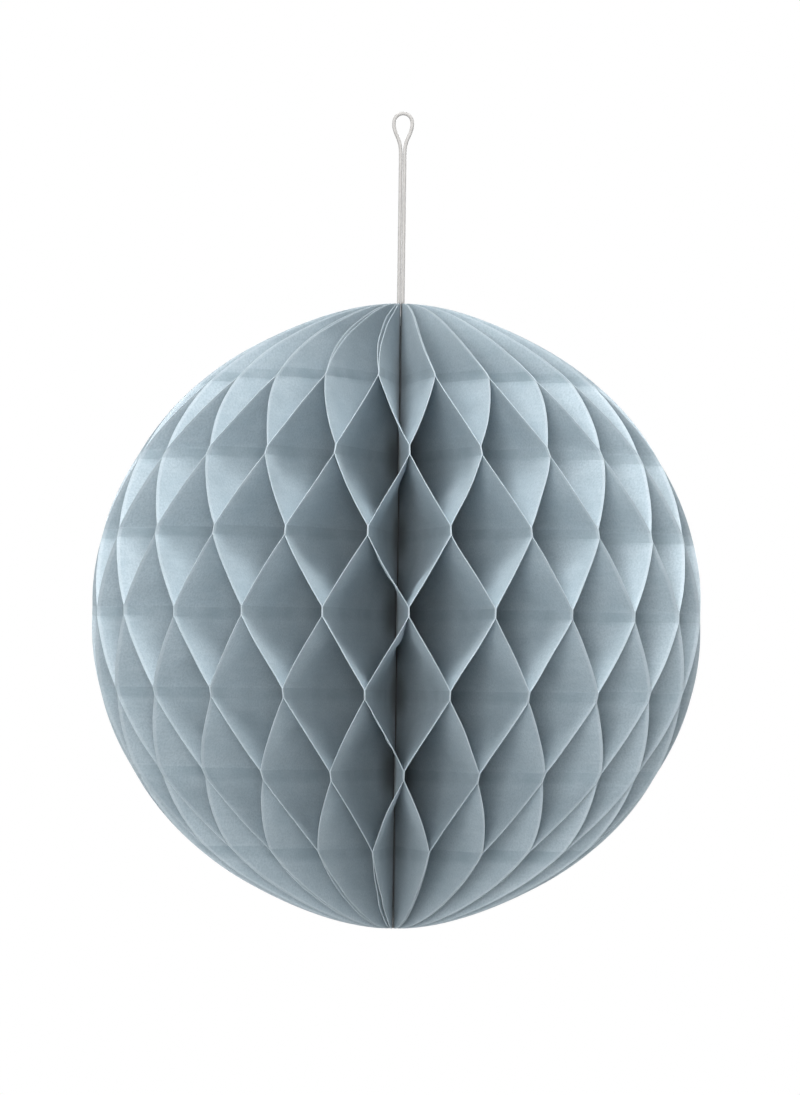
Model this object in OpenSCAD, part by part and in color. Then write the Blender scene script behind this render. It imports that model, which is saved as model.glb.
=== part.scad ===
// A paper honeycomb ball that opens like a fan round its hanging cord.
// Half-round paper leaves stand round the cord and are glued to their neighbours along short strips.
// The glue rows alternate, so each leaf zigzags between the two joints beside it and opens into cells.
// The origin is the inside of the top of the cord's loop, where a hook holds it. +Z is up, -Y is the front.

/* [Ball] */
// Diameter of the ball at its widest
ball_d = 200; // [160:10:260]
// How far each pole stands above the round profile
pole_rise = 2.4; // [1:0.2:4]
// Number of leaves on each side of the front plane
leaves_per_side = 23; // [18:1:25]

/* [Paper] */
// Thickness of one leaf
paper_t = 0.12; // [0.1:0.01:0.16]
// Height of each glued strip
glue_h = 3.3; // [2:0.1:5]
// Film of glue between two leaves
glue_t = 0.1; // [0.08:0.01:0.16]
// Radius at which the leaves start, round the cord
core_r = 2.2; // [2.1:0.1:3]

/* [Covers] */
// Thickness of a cover board
board_t = 0.4; // [0.3:0.05:0.6]
// How far a cover board's round edge stays inside the ball
board_margin = 4; // [2:0.5:12]
// Distance from the cord to a cover board's straight edge
board_inset = 8; // [7:0.5:15]
// Gap between the two closed cover boards
board_gap = 0.3; // [0.2:0.05:0.5]
// Diameter of a closing pad
pad_d = 10; // [6:1:14]
// Thickness of a closing pad
pad_t = 0.25; // [0.1:0.05:0.45]

/* [Cord] */
// Diameter of the cord
cord_d = 1.2; // [1:0.1:1.2]
// Diameter of the knot inside the bottom pole
knot_d = 3.8; // [3:0.1:4]
// Height of the knot
knot_h = 3.4; // [2.5:0.1:5]

/* [Hidden] */
paper_colour = [0.62, 0.69, 0.73];
board_colour = [0.56, 0.63, 0.67];
pad_colour = [0.93, 0.93, 0.90];
cord_colour = [0.90, 0.88, 0.86];

ball_r = ball_d / 2;
pole_z = ball_r + pole_rise;
// Height above the middle where the profile starts to rise to the pole
rise_start = 0.88 * ball_r;
// A leaf's end lies this far inside the pole
leaf_end = 0.25;

// The outermost joint rows are this many rows above and below the middle one, and the poles one further
last_row = 3;
row_pitch = pole_z / (last_row + 1);
cap_steps = 5;
half_pitch = 90 / leaves_per_side;
leaf_clear = (paper_t + glue_t) / 2;
seam_clear = board_gap / 2 + board_t + glue_t + paper_t / 2;
// Inside this radius the last leaf has no room for the board, and lies on its other side
seam_r = (leaf_clear + seam_clear) / (2 * sin(half_pitch));

board_r = ball_r - board_margin;
board_facets = 180;
// The pads sit on this circle, at these angles above and below the middle
pad_ring_r = board_r - 10;
pad_angles = [-36, 0, 36];
pad_facets = 48;

strand_facets = 32;
knot_facets = 48;
knot_round = 0.6;
cord_sides = 8;

// Half the cord's route, as x and z of its middle line, from the top pole up one strand to the loop's top
half_route = [
    [0.65, -62], [0.65, -50], [0.65, -38], [0.65, -26], [0.65, -18], [0.65, -13],
    [0.75, -11], [1.0, -9.4], [1.45, -8], [2.05, -6.6], [2.6, -5.2], [2.95, -3.8],
    [3.0, -2.4], [2.6, -0.9], [1.5, 0.2], [0, 0.6]
];
strand_x = half_route[0][0];
top_pole_z = half_route[0][1];
ball_z = top_pole_z - pole_z;

sides = ["r", "l"];
function two_digits(i) = i < 10 ? str("0", i) : str(i);
function leaf_name(side, i) = str("leaf_", side, two_digits(i));

// Radius of the ball's profile at a height above its middle
function profile_r(z) =
    let (rise = pole_rise * pow(max(0, (abs(z) - rise_start) / (pole_z - rise_start)), 2))
    sqrt(pow(ball_r, 2) - pow(abs(z) - rise, 2));

// 1 where a row joins the odd joints, -1 where it joins the even ones
function row_side(row) = row % 2 == 0 ? -1 : 1;

// A leaf beyond its last row stays on that row's side up to the pole, in equal steps of latitude
function cap(way) =
    let (start = asin((last_row * row_pitch + glue_h / 2) / pole_z), end = asin(1 - leaf_end / pole_z))
    [for (i = [1:cap_steps]) [way * pole_z * sin(start + (end - start) * i / cap_steps), row_side(last_row)]];

function reversed(list) = [for (i = [len(list) - 1:-1:0]) list[i]];

// Heights and sides of a leaf from the bottom pole to the top one
stations = concat(
    reversed(cap(-1)),
    [for (row = [-last_row:last_row]) each [
        [row * row_pitch - glue_h / 2, row_side(row)],
        [row * row_pitch + glue_h / 2, row_side(row)],
        if (row < last_row) [(row + 0.5) * row_pitch, 0]
    ]],
    cap(1)
);

// How far a leaf's middle layer lies from its middle plane, at radius r and side s from -1 to 1
function lean(r, s, clear) =
    let (far = r * sin(half_pitch) - clear, near = leaf_clear - r * sin(half_pitch))
    (1 + s) / 2 * max(far, near) + (1 - s) / 2 * near;

// One closed loop of points round a leaf's cut at one height: out along one face and back along the other
function leaf_ring(station, way, is_seam) =
    let (
        s = way * station[1],
        edge = profile_r(station[0]),
        middle = (core_r + edge) / 2,
        reach = [core_r, is_seam ? min(seam_r, middle) : middle, edge],
        clear = is_seam ? seam_clear : leaf_clear,
        line = [for (r = reach) [r * cos(half_pitch * s), lean(r, s, clear), station[0]]]
    )
    concat([for (p = line) p - [0, paper_t / 2, 0]], [for (p = reversed(line)) p + [0, paper_t / 2, 0]]);

// Triangles between neighbouring rings of n points, closed by the first and last ring.
// The second half of a ring splits its squares the other way, so that a sheet's two faces stay parallel.
function skin(rings, n) = concat(
    [for (i = [0:n / 2 - 2]) each [[n - 1 - i, n - 2 - i, i + 1], [n - 1 - i, i + 1, i]]],
    [for (j = [0:rings - 2]) for (i = [0:n - 1]) let (a = j * n + i, b = j * n + (i + 1) % n) each (
        i < n / 2 ? [[a, b, b + n], [a, b + n, a + n]] : [[a, b, a + n], [b, b + n, a + n]]
    )],
    [for (i = [0:n / 2 - 2]) let (a = (rings - 1) * n + i, b = rings * n - 1 - i) each [
        [a, a + 1, b - 1], [a, b - 1, b]
    ]]
);

module leaf(i) {
    way = i % 2 == 1 ? 1 : -1;
    rings = [for (station = stations) leaf_ring(station, way, i == leaves_per_side)];
    color(paper_colour)
        translate([0, 0, ball_z])
        rotate([0, 0, (2 * i - 1) * half_pitch - 90])
        polyhedron([for (ring = rings) each ring], skin(len(rings), len(rings[0])), convexity = 8);
}

module board_outline() {
    intersection() {
        circle(r = board_r, $fn = board_facets);
        translate([board_inset, -board_r])
            square([board_r, 2 * board_r]);
    }
}

module cover() {
    color(board_colour)
        translate([board_gap / 2, 0, ball_z])
        rotate([90, 0, 90])
        linear_extrude(board_t)
        board_outline();
}

module closing_pads() {
    for (angle = pad_angles)
        color(pad_colour)
            translate([board_gap / 2 - pad_t, pad_ring_r * cos(angle), ball_z + pad_ring_r * sin(angle)])
            rotate([0, 90, 0])
            cylinder(d = pad_d, h = pad_t, $fn = pad_facets);
}

module spine_cord() {
    for (way = [-1, 1])
        color(cord_colour)
            translate([way * strand_x, 0, ball_z - pole_z + knot_h])
            cylinder(d = cord_d, h = 2 * pole_z - knot_h, $fn = strand_facets);
}

module bottom_knot() {
    color(cord_colour)
        translate([0, 0, ball_z - pole_z])
        rotate_extrude($fn = knot_facets)
        intersection() {
            offset(r = knot_round, $fn = knot_facets / 2)
                offset(delta = -knot_round)
                translate([-knot_d / 2, 0])
                square([knot_d, knot_h]);
            square([knot_d, knot_h]);
        }
}

module hanging_cord() {
    count = len(half_route);
    left = [for (p = half_route) [-p[0], 0, p[1]]];
    right = [for (i = [count - 2:-1:0]) [half_route[i][0], 0, half_route[i][1]]];
    route = concat(left, right);
    last = len(route) - 1;
    rings = [for (i = [0:last]) let (
        along = route[min(i + 1, last)] - route[max(i - 1, 0)],
        across = [along[2], 0, -along[0]] / norm(along)
    ) [for (k = [0:cord_sides - 1]) let (turn = 360 * k / cord_sides)
        route[i] + cord_d / 2 * (cos(turn) * across + sin(turn) * [0, 1, 0])
    ]];
    color(cord_colour)
        polyhedron([for (ring = rings) each ring], skin(len(rings), cord_sides), convexity = 4);
}

spine_cord();
bottom_knot();
hanging_cord();
cover();  // cover_right
mirror([1, 0, 0]) cover();  // cover_left
closing_pads();
for (i = [1:leaves_per_side]) {
    leaf(i);
    mirror([1, 0, 0]) leaf(i);
}
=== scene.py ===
import math
import random

import bpy
import numpy as np
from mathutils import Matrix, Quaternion, Vector


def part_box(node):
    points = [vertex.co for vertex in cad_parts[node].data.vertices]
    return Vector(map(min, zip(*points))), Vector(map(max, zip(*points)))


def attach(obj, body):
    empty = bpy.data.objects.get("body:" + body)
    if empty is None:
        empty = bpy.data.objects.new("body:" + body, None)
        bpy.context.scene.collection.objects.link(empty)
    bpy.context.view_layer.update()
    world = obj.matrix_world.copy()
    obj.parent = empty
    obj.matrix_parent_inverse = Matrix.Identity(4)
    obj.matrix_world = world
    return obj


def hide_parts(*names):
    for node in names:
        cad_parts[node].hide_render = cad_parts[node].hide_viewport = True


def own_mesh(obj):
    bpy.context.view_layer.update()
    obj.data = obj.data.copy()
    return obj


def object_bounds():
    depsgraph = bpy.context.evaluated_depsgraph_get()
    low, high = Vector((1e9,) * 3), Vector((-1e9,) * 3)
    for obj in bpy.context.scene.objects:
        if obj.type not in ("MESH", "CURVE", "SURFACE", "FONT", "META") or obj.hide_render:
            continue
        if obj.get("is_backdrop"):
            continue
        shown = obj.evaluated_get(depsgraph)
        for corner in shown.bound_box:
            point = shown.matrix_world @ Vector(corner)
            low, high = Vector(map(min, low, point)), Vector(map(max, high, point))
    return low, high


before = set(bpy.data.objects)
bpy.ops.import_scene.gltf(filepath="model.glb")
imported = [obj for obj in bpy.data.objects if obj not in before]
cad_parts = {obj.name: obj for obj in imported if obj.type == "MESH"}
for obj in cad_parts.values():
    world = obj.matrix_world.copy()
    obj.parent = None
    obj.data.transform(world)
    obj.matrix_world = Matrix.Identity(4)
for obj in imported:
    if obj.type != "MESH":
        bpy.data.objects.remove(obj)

cad_lo, cad_hi = (corner.copy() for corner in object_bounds())

# ---- sizes, in metres; heights of leaves and joints are above the ball's middle -----------------
MM = 0.001
TOP_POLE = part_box("spine_cord")[1].z
BOTTOM_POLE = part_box("bottom_knot")[0].z
BALL = Vector((0, 0, (TOP_POLE + BOTTOM_POLE) / 2))
POLE_H = (TOP_POLE - BOTTOM_POLE) / 2
BALL_R = 100 * MM
# Above this height the outline rises from a circle, to stand this far above it at the pole
RISE_START = 0.88 * BALL_R
RISE = POLE_H - BALL_R
PER_SIDE = sum(name.startswith("leaf_r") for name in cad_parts)
HALF_PITCH = math.pi / 2 / PER_SIDE
LAST_ROW = 3
ROWS = list(range(-LAST_ROW, LAST_ROW + 1))
ROW_PITCH = POLE_H / (LAST_ROW + 1)
# Height over which a leaf lies straight at a joint
GLUE_H = 2.9 * MM
CORE_R = 2.2 * MM
# From a column of joints to a leaf glued there, and from the seam past a board to the last leaf
LEAF_CLEAR = 0.11 * MM
SEAM_CLEAR = 0.72 * MM
LEAF_END = 0.25 * MM
# A little thicker than the CAD leaves, so that the cut edges show
SHEET_T = 0.16 * MM
STRAND_X = 0.65 * MM
CORD_D = 1.2 * MM

# ---- camera -----------------------------------------------------------------------------------
CAMERA_DISTANCE = 1.84
CAMERA_AZIMUTH = math.radians(-2.1)
CAMERA_ELEVATION = math.radians(-0.6)
CAMERA_ROLL = math.radians(0.75)
# The point it looks at, from the ball's middle
CAMERA_AIM = Vector((0.8 * MM, 0, 22.4 * MM))
CAMERA_LENS = 184.5
CAMERA_SENSOR = 36


def link(obj):
    bpy.context.scene.collection.objects.link(obj)
    return obj


def make_camera():
    data = bpy.data.cameras.new("camera")
    data.sensor_width = CAMERA_SENSOR
    data.lens = CAMERA_LENS
    camera = link(bpy.data.objects.new("camera", data))
    level = math.cos(CAMERA_ELEVATION)
    back = Vector((
        math.sin(CAMERA_AZIMUTH) * level, -math.cos(CAMERA_AZIMUTH) * level, math.sin(CAMERA_ELEVATION)
    ))
    camera.location = BALL + back * CAMERA_DISTANCE
    aim = BALL + CAMERA_AIM - camera.location
    camera.rotation_mode = "QUATERNION"
    camera.rotation_quaternion = aim.to_track_quat("-Z", "Y") @ Quaternion((0, 0, 1), CAMERA_ROLL)
    bpy.context.scene.camera = camera


make_camera()


# ---- node helpers -----------------------------------------------------------------------------
class Material:
    """A node material on one Principled shader."""

    def __init__(self, name, roughness, **sockets):
        self.material = bpy.data.materials.new(name)
        self.material.use_nodes = True
        self.tree = self.material.node_tree
        self.shader = self.tree.nodes["Principled BSDF"]
        self.put(Roughness=roughness, **sockets)

    def put(self, **sockets):
        """Sets sockets of the shader, each named with _ for a space."""
        for socket, value in sockets.items():
            self.set(self.shader.inputs[socket.replace("_", " ")], value)

    def set(self, socket, value):
        if isinstance(value, bpy.types.NodeSocket):
            self.tree.links.new(value, socket)
        else:
            socket.default_value = value

    def node(self, kind, inputs=None, **settings):
        made = self.tree.nodes.new(kind)
        for key, value in settings.items():
            setattr(made, key, value)
        for key, value in (inputs or {}).items():
            self.set(made.inputs[key], value)
        return made

    def attribute(self, name):
        return self.node("ShaderNodeAttribute", attribute_name=name).outputs["Fac"]

    def place(self):
        return self.node("ShaderNodeTexCoord").outputs["Object"]

    def noise(self, vector, scale, detail=3.0, roughness=0.5):
        return self.node("ShaderNodeTexNoise", {
            "Vector": vector, "Scale": scale, "Detail": detail, "Roughness": roughness
        }).outputs["Fac"]

    def stretched_noise(self, vector, scale, detail=3.0, roughness=0.5):
        mapped = self.node("ShaderNodeMapping", {"Vector": vector, "Scale": scale}).outputs["Vector"]
        return self.noise(mapped, 1.0, detail, roughness)

    def ranged(self, value, low, high, to_low=0.0, to_high=1.0):
        """Goes smoothly from to_low to to_high as value goes from low to high."""
        return self.node("ShaderNodeMapRange", {
            "Value": value, "From Min": low, "From Max": high, "To Min": to_low, "To Max": to_high
        }, interpolation_type="SMOOTHSTEP").outputs["Result"]

    def math(self, operation, *values):
        return self.node("ShaderNodeMath", dict(enumerate(values)), operation=operation).outputs[0]

    def product(self, first, *others):
        for other in others:
            first = self.math("MULTIPLY", first, other)
        return first

    def mix(self, share, first, second):
        made = self.node("ShaderNodeMix", data_type="RGBA")
        # Inputs 6 and 7 and output 2 are the ones for colours
        for key, value in ((0, share), (6, first), (7, second)):
            self.set(made.inputs[key], value)
        return made.outputs[2]

    def shine_through(self, share, colour):
        """Mixes in light from behind, as thin paper lets it through."""
        through = self.node("ShaderNodeBsdfTranslucent", {"Color": colour}).outputs[0]
        both = self.node("ShaderNodeMixShader", {0: share, 1: self.shader.outputs[0], 2: through})
        self.set(self.tree.nodes["Material Output"].inputs["Surface"], both.outputs[0])

    def bump(self, height, strength, distance, **normal):
        inputs = {"Height": height, "Strength": strength, "Distance": distance, **normal}
        return self.node("ShaderNodeBump", inputs).outputs["Normal"]


def srgb(red, green, blue):
    """A colour given as a screen shows it, from 0 to 255, as the linear colour that shaders take."""
    def linear(v):
        v /= 255
        return v / 12.92 if v <= 0.04045 else ((v + 0.055) / 1.055) ** 2.4
    return (linear(red), linear(green), linear(blue), 1.0)


# ---- materials; scales of noise are in features per metre ---------------------------------------
PAPER = srgb(183, 197, 205)
PAPER_DARK = srgb(154, 172, 181)
PAPER_LIGHT = srgb(200, 211, 217)
# Painted shade along the joints
PAPER_JOINT_SHADE = srgb(128, 148, 158)
# Painted shade deep in the cells, near the cord
PAPER_CORE_SHADE = srgb(52, 62, 70)
# Painted highlight along the cut edges
PAPER_RIM_HIGHLIGHT = srgb(218, 226, 231)
PAPER_THROUGH = srgb(200, 219, 229)
PAPER_SHEEN = srgb(215, 228, 235)
CORD_DARK = srgb(160, 158, 156)
CORD_LIGHT = srgb(171, 169, 167)
# Painted shade: darker copies of the cord's colours, for the strands inside the ball
CORD_SHADED_DARK = srgb(66, 60, 56)
CORD_SHADED = srgb(92, 85, 80)
BOARD_DARK = srgb(132, 148, 157)
BOARD = srgb(146, 162, 171)
BOARD_LIGHT = srgb(160, 174, 182)
PAD_DARK = srgb(226, 222, 208)
PAD_LIGHT = srgb(244, 242, 232)

GRAIN = 1500.0
CLOUD = 70.0
CRINKLE = 140.0
FIBRE = (1500, 500, 1)
STREAK = (90, 500, 1)
FLUFF = (2500, 2500, 700)
PULP = 900.0
BOARD_CLOUD = 40.0
PAD_CLOUD = 300.0
# Of each noise: the values between which its colour comes in, and the colour's share at both if not 0 and 1
GRAIN_MIX = (0.36, 0.64, 0.3, 1.0)
FIBRE_MIX = (0.4, 0.75, 0.0, 0.4)
CLOUD_MIX = (0.35, 0.7, 0.0, 0.35)
STREAK_MIX = (0.45, 0.7, 0.0, 0.2)
PULP_MIX = (0.35, 0.7, 0.0, 0.5)
EVEN_MIX = (0.3, 0.7)
FINE_RELIEF = 0.1 * MM
CRINKLE_RELIEF = 0.6 * MM
THROUGH_SHARE = 0.15

# Painted shade along each joint, from below a joint's middle, where it fades out, to above it, where it ends
# sharply
JOINT_SHADE_BELOW = (-3.2 * MM, -1.0 * MM)
JOINT_SHADE_ABOVE = (1.3 * MM, 1.6 * MM)
JOINT_SHADE_SHARE = (0.15, 0.4)
# Painted highlight: the paper is paler near its cut edge, by distance from the edge
RIM_HIGHLIGHT_FADE = (0.9 * MM, 1.4 * MM)
RIM_HIGHLIGHT_SHARE = 0.28
# Painted shade in pockets near the cord, by distance from it, from the nearest row and in rows from the middle
# row
POCKET_FADE = (6 * MM, 28 * MM)
POCKET_SHARE = 0.85
POCKET_H = (2 * MM, 10 * MM)
POCKET_ROWS = (2.3, 2.8)
# What is left of a pocket between two rows, and at the last row
POCKET_LEFT = (0.1, 0.2)
# Painted shade, darkest right at the cord
CORD_SHADE_FADE = (2.5 * MM, 6 * MM)
CORD_SHADE_SHARE = 0.9


def paper_colour(m, grain, fibre, cloud, streak):
    colour = m.mix(m.ranged(grain, *GRAIN_MIX), PAPER_DARK, PAPER)
    colour = m.mix(m.ranged(fibre, *FIBRE_MIX), colour, PAPER_LIGHT)
    colour = m.mix(m.ranged(cloud, *CLOUD_MIX), colour, PAPER_DARK)
    return m.mix(m.ranged(streak, *STREAK_MIX), colour, PAPER_LIGHT)


# Painted shade along a joint: patchy, fading out below it and ending sharply above it
def joint_shade_colour(m, colour, cloud, past_row):
    above = m.ranged(past_row, *JOINT_SHADE_ABOVE, 1.0, 0.0)
    below = m.ranged(past_row, *JOINT_SHADE_BELOW)
    patchy = m.ranged(cloud, *EVEN_MIX, *JOINT_SHADE_SHARE)
    return m.mix(m.product(above, below, patchy), colour, PAPER_JOINT_SHADE)


# Painted shade deep in the cells: pockets near the cord by the joints, weaker at the last rows, and darkest
# right at the cord
def core_shade_colour(m, colour, row, past_row):
    core = m.attribute("core")
    from_row = m.math("ABSOLUTE", past_row)
    pocket = m.product(
        m.ranged(core, *POCKET_FADE, POCKET_SHARE, 0.0),
        m.ranged(from_row, *POCKET_H, 1.0, POCKET_LEFT[0]),
        m.ranged(m.math("ABSOLUTE", row), *POCKET_ROWS, 1.0, POCKET_LEFT[1]),
    )
    colour = m.mix(pocket, colour, PAPER_CORE_SHADE)
    return m.mix(m.ranged(core, *CORD_SHADE_FADE, CORD_SHADE_SHARE, 0.0), colour, PAPER_CORE_SHADE)


def paper_material():
    m = Material(
        "paper", 0.62,
        Specular_IOR_Level=0.35, Sheen_Weight=0.22, Sheen_Roughness=0.45, Sheen_Tint=PAPER_SHEEN,
    )
    sheet = m.node("ShaderNodeUVMap", uv_map="sheet").outputs["UV"]
    fibre = m.stretched_noise(sheet, FIBRE, 3.0, 0.6)
    streak = m.stretched_noise(sheet, STREAK, 3.0, 0.6)
    grain = m.noise(sheet, GRAIN, 2.0, 0.6)
    cloud = m.noise(sheet, CLOUD, 4.0)
    row = m.attribute("row")
    past_row = m.product(m.math("SUBTRACT", row, m.math("ROUND", row)), ROW_PITCH)
    colour = paper_colour(m, grain, fibre, cloud, streak)
    # Painted shade along the joints
    colour = joint_shade_colour(m, colour, cloud, past_row)
    # Painted highlight along the cut edge
    colour = m.mix(m.ranged(m.attribute("rim"), *RIM_HIGHLIGHT_FADE, RIM_HIGHLIGHT_SHARE, 0.0), colour, PAPER_RIM_HIGHLIGHT)
    crinkle = m.bump(m.noise(sheet, CRINKLE), 0.3, CRINKLE_RELIEF)
    tooth = m.bump(m.math("ADD", fibre, grain), 0.28, FINE_RELIEF, Normal=crinkle)
    # The base colour carries painted shade deep in the cells
    m.put(Base_Color=core_shade_colour(m, colour, row, past_row), Normal=tooth)
    m.shine_through(THROUGH_SHARE, PAPER_THROUGH)
    return m.material


def cord_material(name, dark, light):
    m = Material(name, 0.6, Sheen_Weight=0.2)
    fluff = m.stretched_noise(m.place(), FLUFF)
    colour = m.mix(m.ranged(fluff, *EVEN_MIX), dark, light)
    m.put(Base_Color=colour, Normal=m.bump(fluff, 0.1, FINE_RELIEF))
    return m.material


def board_material():
    m = Material("cover_board", 0.7, Specular_IOR_Level=0.3)
    pulp = m.noise(m.place(), PULP, 4.0, 0.6)
    cloud = m.noise(m.place(), BOARD_CLOUD)
    colour = m.mix(m.ranged(cloud, *EVEN_MIX), BOARD_DARK, BOARD)
    colour = m.mix(m.ranged(pulp, *PULP_MIX), colour, BOARD_LIGHT)
    m.put(Base_Color=colour, Normal=m.bump(pulp, 0.3, FINE_RELIEF))
    return m.material


def pad_material():
    m = Material("closing_pad", 0.45)
    cloud = m.noise(m.place(), PAD_CLOUD, 4.0)
    m.put(Base_Color=m.mix(cloud, PAD_DARK, PAD_LIGHT), Normal=m.bump(cloud, 0.3, FINE_RELIEF))
    return m.material


# ---- meshes -----------------------------------------------------------------------------------
TWIST_PITCH = 3.6 * MM
TWIST_PLIES = 3
TWIST_RELIEF = 0.04


def grid_faces(rows, cols, start=0, flip=False):
    """Squares of a grid of points numbered row by row from start."""
    i, j = np.meshgrid(np.arange(rows - 1), np.arange(cols - 1), indexing="ij")
    a = start + i * cols + j
    quads = np.stack([a, a + 1, a + cols + 1, a + cols], -1).reshape(-1, 4)
    return (quads[:, ::-1] if flip else quads).tolist()


def mesh_object(name, points, faces, material):
    mesh = bpy.data.meshes.new(name)
    mesh.from_pydata(points.tolist(), [], faces)
    mesh.materials.append(material)
    mesh.polygons.foreach_set("use_smooth", [True] * len(mesh.polygons))
    mesh.update()
    return link(bpy.data.objects.new(name, mesh))


def steps_along(route):
    return np.linalg.norm(np.diff(np.asarray(route), axis=0), axis=1)


def tube(route, radius, sides):
    """Points and faces of a closed tube of cord along a route, with its twisted plies as relief on the skin.
    The route doesn't start along Y."""
    route = np.asarray(route, float)
    along = np.gradient(route, axis=0)
    along /= np.linalg.norm(along, axis=1)[:, None]
    side = np.array([0.0, 1.0, 0.0])
    points = []
    for place, t, length in zip(route, along, np.r_[0, np.cumsum(steps_along(route))]):
        side = side - t * side.dot(t)
        side /= np.linalg.norm(side)
        other = np.cross(t, side)
        for turn in np.arange(sides) * 2 * math.pi / sides:
            ply = abs(math.cos(TWIST_PLIES / 2 * (turn - 2 * math.pi * length / TWIST_PITCH)))
            r = radius * (1 - TWIST_RELIEF * (1 - ply))
            points.append(place + r * (math.cos(turn) * side + math.sin(turn) * other))
    rings = len(route)
    faces = []
    for i in range(rings - 1):
        for k in range(sides):
            a, b = i * sides + k, i * sides + (k + 1) % sides
            faces.append((a, b, b + sides, a + sides))
    faces.append(tuple(range(sides))[::-1])
    faces.append(tuple((rings - 1) * sides + k for k in range(sides)))
    return np.array(points), faces


def smooth_route(points, step):
    """A Catmull-Rom line through the points, with a new point every step."""
    points = np.asarray(points, float)
    ends = np.vstack([2 * points[0] - points[1], points, 2 * points[-1] - points[-2]])
    line = []
    for a, b, c, d in zip(ends, ends[1:], ends[2:], ends[3:]):
        count = max(2, int(np.linalg.norm(c - b) / step))
        for u in np.arange(count) / count:
            line.append(0.5 * (
                2 * b + (c - a) * u + (2 * a - 5 * b + 4 * c - d) * u**2 + (3 * b - a - 3 * c + d) * u**3
            ))
    line.append(points[-1])
    return np.array(line)


# ---- cord -------------------------------------------------------------------------------------
# Half the hanging cord's route in mm, as x and z, from the top pole up one strand to the top of the loop
HALF_ROUTE = [
    (0.65, -62), (0.65, -50), (0.65, -38), (0.65, -26), (0.65, -18), (0.65, -13),
    (0.75, -11), (1.0, -9.4), (1.45, -8), (2.05, -6.6), (2.6, -5.2), (2.95, -3.8),
    (3.0, -2.4), (2.6, -0.9), (1.5, 0.2), (0, 0.6)
]
CORD_ROUTE = [(-x * MM, 0, z * MM) for x, z in HALF_ROUTE]
CORD_ROUTE += [(x * MM, 0, z * MM) for x, z in HALF_ROUTE[-2::-1]]
CORD_STEP = 0.3 * MM
SPINE_STEP = 0.5 * MM
CORD_SIDES = 24
HIDDEN_SIDES = 16
# The tied knot is this much narrower than its CAD solid, so that the folded leaves clear it
KNOT_SHARE = 0.76
# The cord's radius in the knot, as a share of the knot's
KNOT_STRAND = 0.42
KNOT_POINTS = 121


def make_cord(material):
    route = smooth_route(CORD_ROUTE, CORD_STEP)
    piece = mesh_object("hanging_cord_loop", *tube(route, CORD_D / 2, CORD_SIDES), material)
    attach(piece, "core")
    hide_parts("hanging_cord")


def make_spine(material):
    low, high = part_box("spine_cord")
    heights = np.arange(low.z, high.z, SPINE_STEP).tolist() + [high.z]
    (left, faces), (right, _) = [
        tube([(way * STRAND_X, 0, z) for z in heights], CORD_D / 2, HIDDEN_SIDES) for way in (-1, 1)
    ]
    faces += [tuple(v + len(left) for v in face) for face in faces]
    piece = mesh_object("spine_strands", np.vstack([left, right]), faces, material)
    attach(piece, "core")
    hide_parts("spine_cord")


def make_knot(material):
    """A trefoil of cord in the space of the CAD knot."""
    low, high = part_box("bottom_knot")
    centre = (low + high) / 2
    wide, tall = KNOT_SHARE * (high.x - low.x) / 2, (high.z - low.z) / 2
    strand = KNOT_STRAND * wide
    reach = (wide - strand) / 3
    route = [(
        centre.x + reach * (math.sin(t) + 2 * math.sin(2 * t)),
        centre.y + reach * (math.cos(t) - 2 * math.cos(2 * t)),
        centre.z - (tall - strand) * math.sin(3 * t),
    ) for t in np.linspace(0, 2 * math.pi, KNOT_POINTS)]
    piece = mesh_object("tied_knot", *tube(route, strand, HIDDEN_SIDES), material)
    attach(piece, "core")
    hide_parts("bottom_knot")


# ---- columns and rows of joints -----------------------------------------------------------------
# Columns are numbered from 0 at the front, up to the right and down to the left, to the seam at the back. Rows
# are numbered from 0 in the middle, and the poles stand for one more row at each end.
dice = random.Random(11)
COLUMNS = range(-PER_SIDE, PER_SIDE + 1)
ROWS_AND_POLES = range(-LAST_ROW - 1, LAST_ROW + 2)
# Just inside a pole, in rows
NEAR_POLE = LAST_ROW + 0.999
COLUMN_SWAY = math.radians(0.22)
ROW_SWAY = 0.35 * MM
# How far the leaves above the top row lean to the left, at most, at the front
TOP_TWIST = math.radians(-1.8)
# The painted shade along the joints follows a row's joint up to this many rows away
ROW_REACH = 0.49
sway = {(column, row): dice.uniform(-1, 1) for column in COLUMNS for row in ROWS_AND_POLES}
lift = {(column, row): dice.uniform(-1, 1) for column in COLUMNS for row in ROWS_AND_POLES}
for pole_or_row in ROWS_AND_POLES:
    sway[-PER_SIDE, pole_or_row] = sway[PER_SIDE, pole_or_row] = 0


def row_is_odd(row):
    return row % 2 == 1


def joined_column(low, high, row):
    """The one of a leaf's two columns that it is glued at in a row."""
    return high if row_is_odd(row) == row_is_odd(high) else low


def joint_z(low, high, row):
    return row * ROW_PITCH + ROW_SWAY * lift[joined_column(low, high, row), row]


def row_at(low, high, z):
    """A height on a leaf in rows, where each whole number is one of the leaf's joints."""
    joints = [joint_z(low, high, row) for row in ROWS]
    heights = [joints[0] - ROW_REACH * ROW_PITCH] + joints + [joints[-1] + ROW_REACH * ROW_PITCH]
    return float(np.interp(z, heights, [ROWS[0] - ROW_REACH] + ROWS + [ROWS[-1] + ROW_REACH]))


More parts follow.
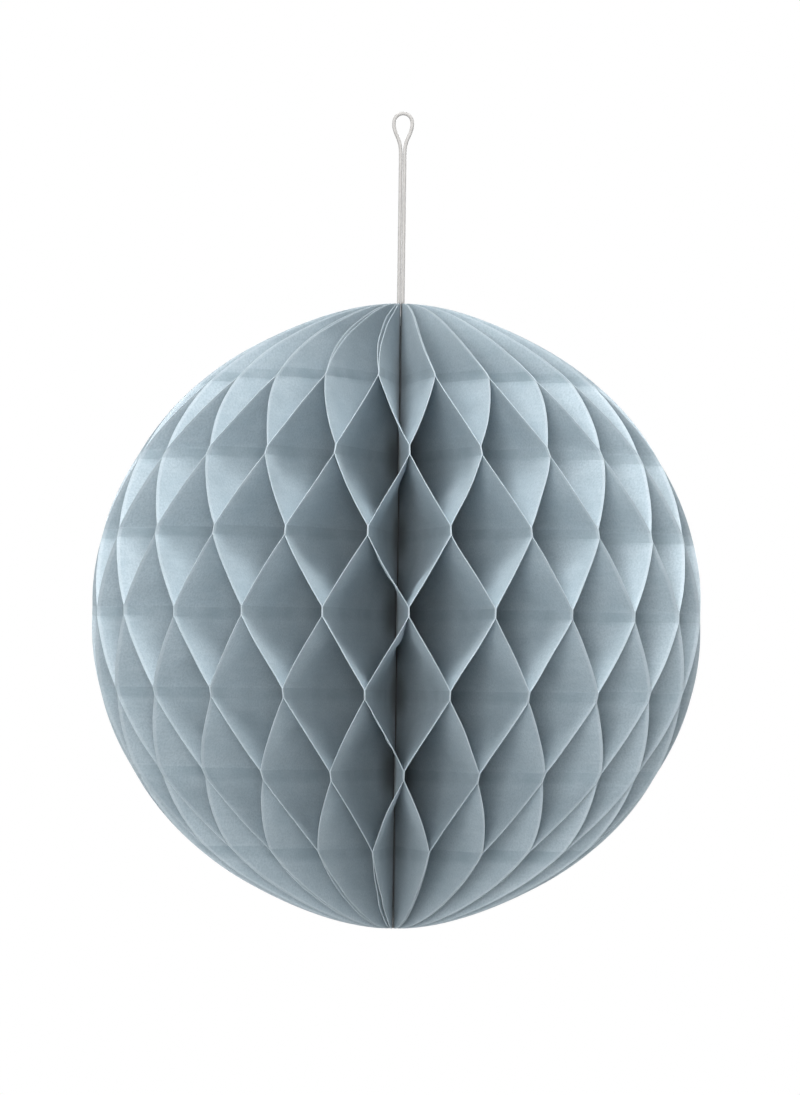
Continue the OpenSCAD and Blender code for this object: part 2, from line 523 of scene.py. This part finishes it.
def column_angle(column, z):
    """Azimuth of a column of joints at a height; the columns sway a little from joint to joint."""
    at = max(-NEAR_POLE, min(NEAR_POLE, z / ROW_PITCH))
    row = math.floor(at)
    u = at - row
    u = u * u * (3 - 2 * u)
    angle = 2 * HALF_PITCH * column
    cap = max(0.0, min(1.0, (z - LAST_ROW * ROW_PITCH) / (POLE_H - LAST_ROW * ROW_PITCH)))
    twist = TOP_TWIST * math.sin(math.pi * cap) * (1 + math.cos(angle)) / 2
    return angle + twist + COLUMN_SWAY * (sway[column, row] * (1 - u) + sway[column, row + 1] * u)


# ---- leaves -----------------------------------------------------------------------------------
# A panel between two joints bends only near its ends, over these shares of the way: sharply at the cut edge and
# at the top row, and in a wider curve deep inside, above the joint at its foot and below the one at its head
CRISP = 0.012
BEND_ABOVE_JOINT = 0.1
BEND_BELOW_JOINT = 0.35
BEND_DEPTH = 14 * MM
PANEL_STEPS = [0.006, 0.012] + [i / 16 for i in range(1, 16)] + [0.988, 0.994]
CAP_STEPS = 18
RADIAL_STEPS = [0, 0.03, 0.08, 0.16, 0.26, 0.38, 0.5, 0.62, 0.74, 0.84, 0.9, 0.96, 1]
# The last rings of points, by distance from the cut edge
RIM_STEPS = [1.4 * MM, 0.5 * MM, 0]
# How far a leaf's cap curls off its neighbour at the cut edge, on the right and left halves
CURL_RIGHT = (0.05 * MM, 0.2 * MM)
CURL_LEFT = (0.4 * MM, 0.8 * MM)
CURL_SKEW = 0.9
CURL_RIPPLE = 0.5
# How far a panel's cut edge waves
EDGE_SLACK = (0.1 * MM, 0.5 * MM)
# How far crumples turn a panel's middle, and their slant along and across the leaf
CRUMPLE = math.radians(1.3)
SLANT_UP = 0.6
SLANT_OUT = 0.4
# Lengths of the waves
CAP_WAVES = (9 * MM, 17 * MM, 30 * MM)
EDGE_WAVES = (24 * MM, 40 * MM, 75 * MM)
CRUMPLE_OUT_WAVES = (13 * MM, 22 * MM, 37 * MM)
CRUMPLE_UP_WAVES = (11 * MM, 19 * MM, 31 * MM)
# Each leaf is cut from another place in the paper's pattern, at most this far off
PATTERN_REACH = 5


def profile_r(z):
    """Radius of the ball's outline at a height above its middle."""
    z = abs(z)
    rise = RISE * max(0.0, (z - RISE_START) / (POLE_H - RISE_START)) ** 2
    return math.sqrt(max(BALL_R**2 - (z - rise) ** 2, 0))


def ramp(u, low_bend, high_bend):
    """From 0 to 1, straight in the middle, with a bend over the given share of the way at each end."""
    slope = 1 / (1 - (low_bend + high_bend) / 2)
    if u < low_bend:
        return slope * u * u / (2 * low_bend)
    if u > 1 - high_bend:
        return 1 - slope * (1 - u) ** 2 / (2 * high_bend)
    return slope * (u - low_bend / 2)


class Wave:
    """A smooth random line made of a few sines, between -1 and 1."""

    def __init__(self, lengths):
        self.parts = [(2 * math.pi / length, dice.uniform(0, 2 * math.pi)) for length in lengths]

    def at(self, x):
        return sum(math.sin(k * x + phase) for k, phase in self.parts) / len(self.parts)


# A station is a height on a leaf, how far the leaf is there from its low column to its high one at the cut edge
# and deep inside, and how far the height is up a cap.
def joint_stations(z, share):
    return [(z + way * GLUE_H / 2, share, share, 0.0) for way in (-1, 0, 1)]


def cap_stations(way, z, share):
    """From the last joint to the pole at the top, where way is 1, or the bottom, where it is -1."""
    start = math.asin((abs(z) + GLUE_H / 2) / POLE_H)
    end = math.asin((POLE_H - LEAF_END) / POLE_H)
    steps = [i / CAP_STEPS for i in range(1, CAP_STEPS + 1)]
    return [(way * POLE_H * math.sin(start + (end - start) * t), share, share, t) for t in steps]


def panel_stations(joint, next_joint, high_bend):
    (z, share), (z_next, share_next) = joint, next_joint
    start, end = z + GLUE_H / 2, z_next - GLUE_H / 2
    return [(
        start + (end - start) * u,
        share + (share_next - share) * ramp(u, CRISP, CRISP),
        share + (share_next - share) * ramp(u, BEND_ABOVE_JOINT, high_bend),
        0.0,
    ) for u in PANEL_STEPS]


def leaf_stations(low, high):
    """All stations of a leaf, from the bottom up."""
    joints = [(joint_z(low, high, row), float(joined_column(low, high, row) == high)) for row in ROWS]
    bends = [BEND_BELOW_JOINT] * (len(joints) - 2) + [CRISP]
    stations = cap_stations(-1, *joints[0])[::-1] + joint_stations(*joints[0])
    for joint, next_joint, high_bend in zip(joints, joints[1:], bends):
        stations += panel_stations(joint, next_joint, high_bend) + joint_stations(*next_joint)
    return stations + cap_stations(1, *joints[-1])


class LeafShape:
    """Shape of the leaf between two columns. side is 1 for the right half and -1 for the left."""

    def __init__(self, side, index):
        self.low, self.high = sorted((side * (index - 1), side * index))
        self.seam_side = side if index == PER_SIDE else 0
        self.clear_low = SEAM_CLEAR if self.seam_side < 0 else LEAF_CLEAR
        self.clear_high = SEAM_CLEAR if self.seam_side > 0 else LEAF_CLEAR
        curl = CURL_RIGHT if side > 0 else CURL_LEFT
        self.bottom_curl, self.top_curl = dice.uniform(*curl), dice.uniform(*curl)
        self.cap_wave = Wave(CAP_WAVES)
        self.edge_wave = Wave(EDGE_WAVES)
        self.edge_slack = dice.uniform(*EDGE_SLACK)
        self.crumple_out = Wave(CRUMPLE_OUT_WAVES)
        self.crumple_up = Wave(CRUMPLE_UP_WAVES)

    def column_angles(self, z, r):
        """Where the leaf lies when it is at its low column and at its high one."""
        first = column_angle(self.low, z) + self.clear_low / r
        last = column_angle(self.high, z) - self.clear_high / r
        # Near the cord the last leaf has no room beside its board, and stays at its other column
        if self.seam_side > 0:
            last = max(last, first)
        if self.seam_side < 0:
            first = min(first, last)
        return first, last

    def curl(self, z, t):
        """How far a cap's cut edge curls off its neighbour."""
        opening = (self.bottom_curl if z < 0 else self.top_curl) * math.sin(math.pi * t**CURL_SKEW)
        return opening * (1 + CURL_RIPPLE * self.cap_wave.at(z))

    def crumple(self, z, r):
        return CRUMPLE * self.crumple_up.at(z + SLANT_UP * r) * self.crumple_out.at(r - SLANT_OUT * z)

    def point(self, station, edge, r):
        """A point of the leaf's middle layer, at r from the ball's axis."""
        z, at_edge, inside, t = station
        depth = min(1.0, (edge - r) / BEND_DEPTH)
        share = at_edge + (inside - at_edge) * depth
        slack = 4 * share * (1 - share)
        off = self.curl(z, t) * (1 if share < 0.5 else -1) + slack * self.edge_slack * self.edge_wave.at(z)
        first, last = self.column_angles(z, r)
        angle = first + (last - first) * share + off * (r / edge) ** 2 / r + depth * slack * self.crumple(z, r)
        return r * math.sin(angle), -r * math.cos(angle), z

    def layer(self):
        """Grids of the middle layer's points, their distances from the cut edge and their heights in rows."""
        grid, rims, rows = [], [], []
        for station in leaf_stations(self.low, self.high):
            edge = profile_r(station[0])
            inner = edge - 2 * RIM_STEPS[0] - CORE_R
            radii = [CORE_R + inner * u for u in RADIAL_STEPS] + [edge - d for d in RIM_STEPS]
            grid.append([self.point(station, edge, r) for r in radii])
            rims.append([edge - r for r in radii])
            rows.append([row_at(self.low, self.high, station[0])] * len(radii))
        return np.array(grid), np.array(rims), np.array(rows)


def thick_sheet(grid):
    """Points and faces of a sheet with the grid as its middle layer, and the numbers of its border's points.
    The first side's points come before the second's, and the border's faces come last."""
    normal = np.cross(np.gradient(grid, axis=1), np.gradient(grid, axis=0))
    normal /= np.linalg.norm(normal, axis=2)[:, :, None]
    points = np.vstack([
        (grid + normal * SHEET_T / 2).reshape(-1, 3), (grid - normal * SHEET_T / 2).reshape(-1, 3)
    ])
    rows, cols = grid.shape[:2]
    size = rows * cols
    number = np.arange(size).reshape(rows, cols)
    border = np.r_[number[0], number[1:, -1], number[-1, -2::-1], number[-2:0:-1, 0]].tolist()
    rim_faces = [[b, a, a + size, b + size] for a, b in zip(border, border[1:] + border[:1])]
    return points, grid_faces(rows, cols) + grid_faces(rows, cols, size, True) + rim_faces, border


def mark_points(mesh, name, values):
    """Gives the points on both sides of a sheet their values, for the material."""
    mesh.attributes.new(name, "FLOAT", "POINT").data.foreach_set("value", np.tile(values.ravel(), 2))


def map_sheet(mesh, reach, height):
    """Lays the paper's pattern flat on a leaf, at a random place."""
    shift = [dice.uniform(0, PATTERN_REACH), dice.uniform(0, PATTERN_REACH)]
    flat = np.tile(np.stack([reach.ravel(), height.ravel()], 1) + shift, (2, 1))
    uv = mesh.uv_layers.new(name="sheet")
    corner = np.zeros(len(mesh.loops), np.int32)
    mesh.loops.foreach_get("vertex_index", corner)
    uv.data.foreach_set("uv", flat[corner].ravel())


def sharpen_border(mesh, border, size):
    """Makes the border's faces flat and their edges sharp."""
    sheet_faces = len(mesh.polygons) - len(border)
    mesh.polygons.foreach_set("use_smooth", [i < sheet_faces for i in range(len(mesh.polygons))])
    border_edges = {tuple(sorted(pair)) for pair in zip(border, border[1:] + border[:1])}
    border_edges |= {(a + size, b + size) for a, b in border_edges}
    sharp = [tuple(sorted(edge.vertices)) in border_edges for edge in mesh.edges]
    mesh.attributes.new("sharp_edge", "BOOLEAN", "EDGE").data.foreach_set("value", sharp)


def make_leaf(side, index, material):
    name = f"leaf_{'r' if side > 0 else 'l'}{index:02d}"
    grid, rims, rows = LeafShape(side, index).layer()
    points, faces, border = thick_sheet(grid)
    piece = mesh_object(f"paper_{name}", points + np.array(BALL), faces, material)
    mark_points(piece.data, "rim", rims)
    mark_points(piece.data, "row", rows)
    reach = np.linalg.norm(grid[:, :, :2], axis=2)
    mark_points(piece.data, "core", reach)
    map_sheet(piece.data, reach, grid[:, :, 2])
    sharpen_border(piece.data, border, rims.size)
    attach(piece, name)
    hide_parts(name)
    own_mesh(piece)


# ---- surroundings -----------------------------------------------------------------------------
FLOOR_Z = -3.2
FLOOR_R = 24.0
FLOOR_CORNERS = 96
FLOOR_NOISE = 3.0
FLOOR_DARK = (0.58, 0.58, 0.58, 1)
FLOOR_LIGHT = (0.62, 0.62, 0.62, 1)
# The floor's own light grows over these distances from the middle, so that it meets the surround softly
FLOOR_GLOW_REACH = (4.0, 20.0)
FLOOR_GLOW = (0.22, 0.85)
# The surround is white up to just above the horizon, then grows darker. The places run from 0 straight below to
# 1 straight above.
SURROUND = ((0.57, 1.0), (0.67, 0.3))
# Name, place, size and power of each lamp; all are square and aim at the ball's middle
LAMPS = (
    ("front", (-0.45, -2.2, -0.05), 0.7, 24.5),
    ("lens", (0, -1.95, -0.15), 0.35, 7),
    ("top", (-0.15, -0.7, 1.55), 1.0, 37),
    ("back", (0.4, 2.4, 0.5), 1.0, 25),
    ("side", (1.7, 1.9, 0.4), 1.0, 5),
)


def make_floor():
    mesh = bpy.data.meshes.new("floor")
    turns = np.arange(FLOOR_CORNERS) * 2 * math.pi / FLOOR_CORNERS
    ring = [(FLOOR_R * math.cos(a), FLOOR_R * math.sin(a), FLOOR_Z) for a in turns]
    mesh.from_pydata(ring, [], [tuple(range(FLOOR_CORNERS))])
    floor = link(bpy.data.objects.new("floor", mesh))
    m = Material("floor", 0.9, Emission_Color=(1, 1, 1, 1))
    distance = m.node("ShaderNodeVectorMath", {0: m.place()}, operation="LENGTH").outputs["Value"]
    m.put(
        Base_Color=m.mix(m.noise(m.place(), FLOOR_NOISE), FLOOR_DARK, FLOOR_LIGHT),
        Emission_Strength=m.ranged(distance, *FLOOR_GLOW_REACH, *FLOOR_GLOW),
    )
    mesh.materials.append(m.material)
    floor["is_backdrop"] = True


def make_world():
    world = bpy.data.worlds.new("studio")
    world.use_nodes = True
    bpy.context.scene.world = world
    tree = world.node_tree
    coordinate = tree.nodes.new("ShaderNodeTexCoord")
    split = tree.nodes.new("ShaderNodeSeparateXYZ")
    height = tree.nodes.new("ShaderNodeMapRange")
    height.inputs["From Min"].default_value = -1
    levels = tree.nodes.new("ShaderNodeValToRGB")
    for stop, (place, level) in zip(levels.color_ramp.elements, SURROUND):
        stop.position, stop.color = place, (level, level, level, 1)
    tree.links.new(coordinate.outputs["Generated"], split.inputs[0])
    tree.links.new(split.outputs["Z"], height.inputs["Value"])
    tree.links.new(height.outputs["Result"], levels.inputs["Fac"])
    tree.links.new(levels.outputs["Color"], tree.nodes["Background"].inputs["Color"])


def area_light(name, place, size, power):
    data = bpy.data.lights.new(name, "AREA")
    data.size = size
    data.energy = power
    lamp = link(bpy.data.objects.new(name, data))
    lamp.location = place
    lamp.rotation_mode = "QUATERNION"
    lamp.rotation_quaternion = (BALL - Vector(place)).to_track_quat("-Z", "Y")
    lamp.visible_camera = False


make_world()
make_floor()
for lamp_settings in LAMPS:
    area_light(*lamp_settings)
bpy.context.scene.view_settings.view_transform = "Standard"

# ---- the object -------------------------------------------------------------------------------
cord_look = cord_material("cord", CORD_DARK, CORD_LIGHT)
# The strands inside the ball get a darker copy of the cord's material as painted shade
shaded_cord_look = cord_material("cord_painted_shade", CORD_SHADED_DARK, CORD_SHADED)
make_cord(cord_look)
make_spine(shaded_cord_look)
make_knot(cord_look)
paper_look = paper_material()
for leaf_index in range(1, PER_SIDE + 1):
    for leaf_side in (1, -1):
        make_leaf(leaf_side, leaf_index, paper_look)
for cad_name, look in (
    ("cover_right", board_material()), ("cover_left", board_material()), ("closing_pads", pad_material())
):
    cad_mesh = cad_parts[cad_name].data
    cad_mesh.materials.clear()
    cad_mesh.materials.append(look)
